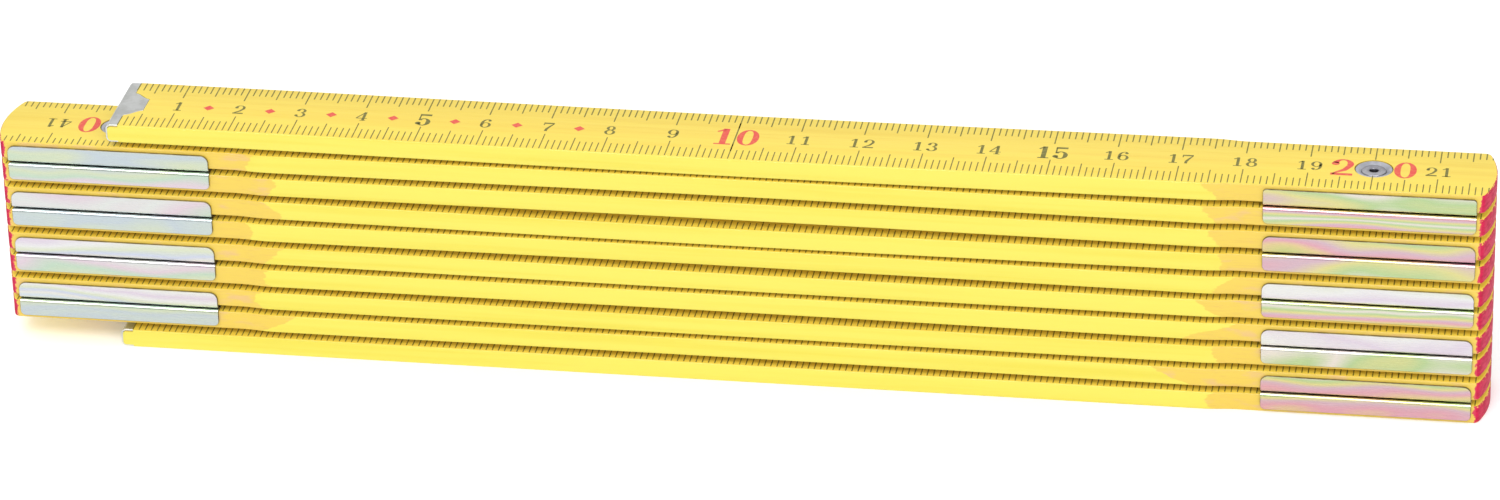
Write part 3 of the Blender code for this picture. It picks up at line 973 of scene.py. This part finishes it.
def build_blades():
    for k in range(1, BLADE_COUNT + 1):
        node = f"blade_{k:02d}"
        at = (0, 0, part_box(node)[0].z / MM)
        body = f"section_{k}"
        wood = (FACE, SIDE_CAPPED if k in (1, BLADE_COUNT) else SIDE, END)
        shape = warped(k, blade_shape(k))
        finish_piece(f"wood_{k:02d}", shape, wood, at, body, node, wood_slot)
        ink = warped(k, print_mesh(k), divide=False)
        finish_piece(f"print_{k:02d}", ink, (DARK_INK, RED_INK), at, body)


def build_caps():
    for node, body in (("zero_end_cap", "section_1"), ("far_end_cap", f"section_{BLADE_COUNT}")):
        at = (0, 0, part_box(node)[0].z / MM)
        finish_piece(node + "_sheet", cap_shape(), (CAP_STEEL,), at, body, node)


def build_joints():
    for j, joint in JOINTS.items():
        upper, lower = joint["child"], joint["parent"]
        x = joint["pos_m"][0] / MM
        under, top = (corner.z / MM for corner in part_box(f"blade_{j:02d}"))
        base, over = (corner.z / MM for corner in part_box(f"blade_{j + 1:02d}"))
        zinc = WARM_PLATE if x > 0 else COOL_PLATE
        upper_zinc = SILVER_PLATE if j in SILVERY else zinc
        upper_plate = plate_shape(True, TOP_PLATE_CORNER if j == 1 else UPPER_PLATE_CORNER)
        lower_plate = turned_over(plate_shape(False, LOWER_PLATE_CORNER))
        rivet = rivet_shape(top - base - 2 * RIVET_SUNK)
        pieces = (
            ("upper_plate", upper_plate, upper_zinc, under, upper, "spring_plate"),
            ("lower_plate", lower_plate, zinc, over, lower, "spring_plate"),
            ("upper_washer", washer_shape(), WASHER_STEEL, top, upper, "washer_steel"),
            ("lower_washer", turned_over(washer_shape()), WASHER_STEEL, base, lower, "washer_steel"),
            ("rivet", rivet, RIVET_STEEL, (top + base) / 2, lower, "rivet_steel"),
        )
        for part, shape, material, z, body, slot in pieces:
            node = f"joint_{j}_{part}"
            sheet = part.endswith("plate")
            materials = (material, SHADED_CUT_EDGE) if sheet else (material,)
            choose = plate_slot if sheet else None
            finish_piece(node + "_detail", shape, materials, (x, 0, z), body, node, choose)


# ----------------------------------------------------------------------------------- studio


# The floor glows a little, so that it renders nearly white, as the photograph's background is.
FLOOR_REACH = 20000
FLOOR_DEPTH = 20
FLOOR_GLOW = 0.16
ROOM_LIGHT = 0.55


def floor_material():
    shader = Shader("pale_floor", roughness=0.75)
    cloud = shader.noise((0.004, 0.004, 0.004), detail=2.0)
    shader.surface.inputs["Emission Color"].default_value = (1.0, 1.0, 1.0, 1.0)
    shader.surface.inputs["Emission Strength"].default_value = FLOOR_GLOW
    return shader.paint(shader.mix(cloud, (0.93, 0.93, 0.93), (0.95, 0.95, 0.95)))


def build_floor():
    corners = [(-FLOOR_REACH, -FLOOR_REACH), (FLOOR_REACH, -FLOOR_REACH)]
    corners += [(-x, -y) for x, y in corners]
    shape = prism(corners, -FLOOR_DEPTH, 0)
    bmesh.ops.scale(shape, verts=shape.verts, vec=(MM, MM, MM))
    floor = as_object("floor", shape)
    floor.data.materials.append(floor_material())


def soft_sun(name, toward, strength, spread):
    """Even light from one direction, wide enough to leave only soft shadows."""
    light = bpy.data.lights.new(name, "SUN")
    light.energy = strength
    light.angle = math.radians(spread)
    obj = bpy.data.objects.new(name, light)
    obj.rotation_euler = Vector(toward).to_track_quat("-Z", "Y").to_euler()
    bpy.context.scene.collection.objects.link(obj)


def build_lights():
    world = bpy.data.worlds.new("studio")
    world.use_nodes = True
    world.node_tree.nodes["Background"].inputs["Color"].default_value = (1.0, 1.0, 1.0, 1.0)
    world.node_tree.nodes["Background"].inputs["Strength"].default_value = ROOM_LIGHT
    bpy.context.scene.world = world
    soft_sun("key", (0.14, 0.62, -0.76), 1.30, 26)
    soft_sun("fill", (-0.35, 0.85, -0.36), 0.92, 40)
    soft_sun("top", (0.0, -0.12, -0.80), 0.82, 120)
    bpy.context.scene.view_settings.view_transform = "Standard"


# Fitted to the scale's marks and the rule's outline as the photograph shows them. The places are in
# metres, the roll in degrees.
CAMERA_AT = (0.1612, -0.8794, 0.4733)
CAMERA_AIM = (0.0018, 0.0, 0.0195)
CAMERA_ROLL = -1.54
CAMERA_LENS = 152.0


def build_camera():
    camera = bpy.data.cameras.new("camera")
    camera.lens = CAMERA_LENS
    camera.clip_start = 0.05
    obj = bpy.data.objects.new("camera", camera)
    obj.location = CAMERA_AT
    aim = (Vector(CAMERA_AIM) - Vector(CAMERA_AT)).to_track_quat("-Z", "Y")
    roll = Quaternion((0, 0, 1), math.radians(CAMERA_ROLL))
    obj.rotation_mode = "QUATERNION"
    obj.rotation_quaternion = aim @ roll
    bpy.context.scene.collection.objects.link(obj)
    bpy.context.scene.camera = obj


build_camera()
build_lights()
build_floor()
build_blades()
build_caps()
build_joints()
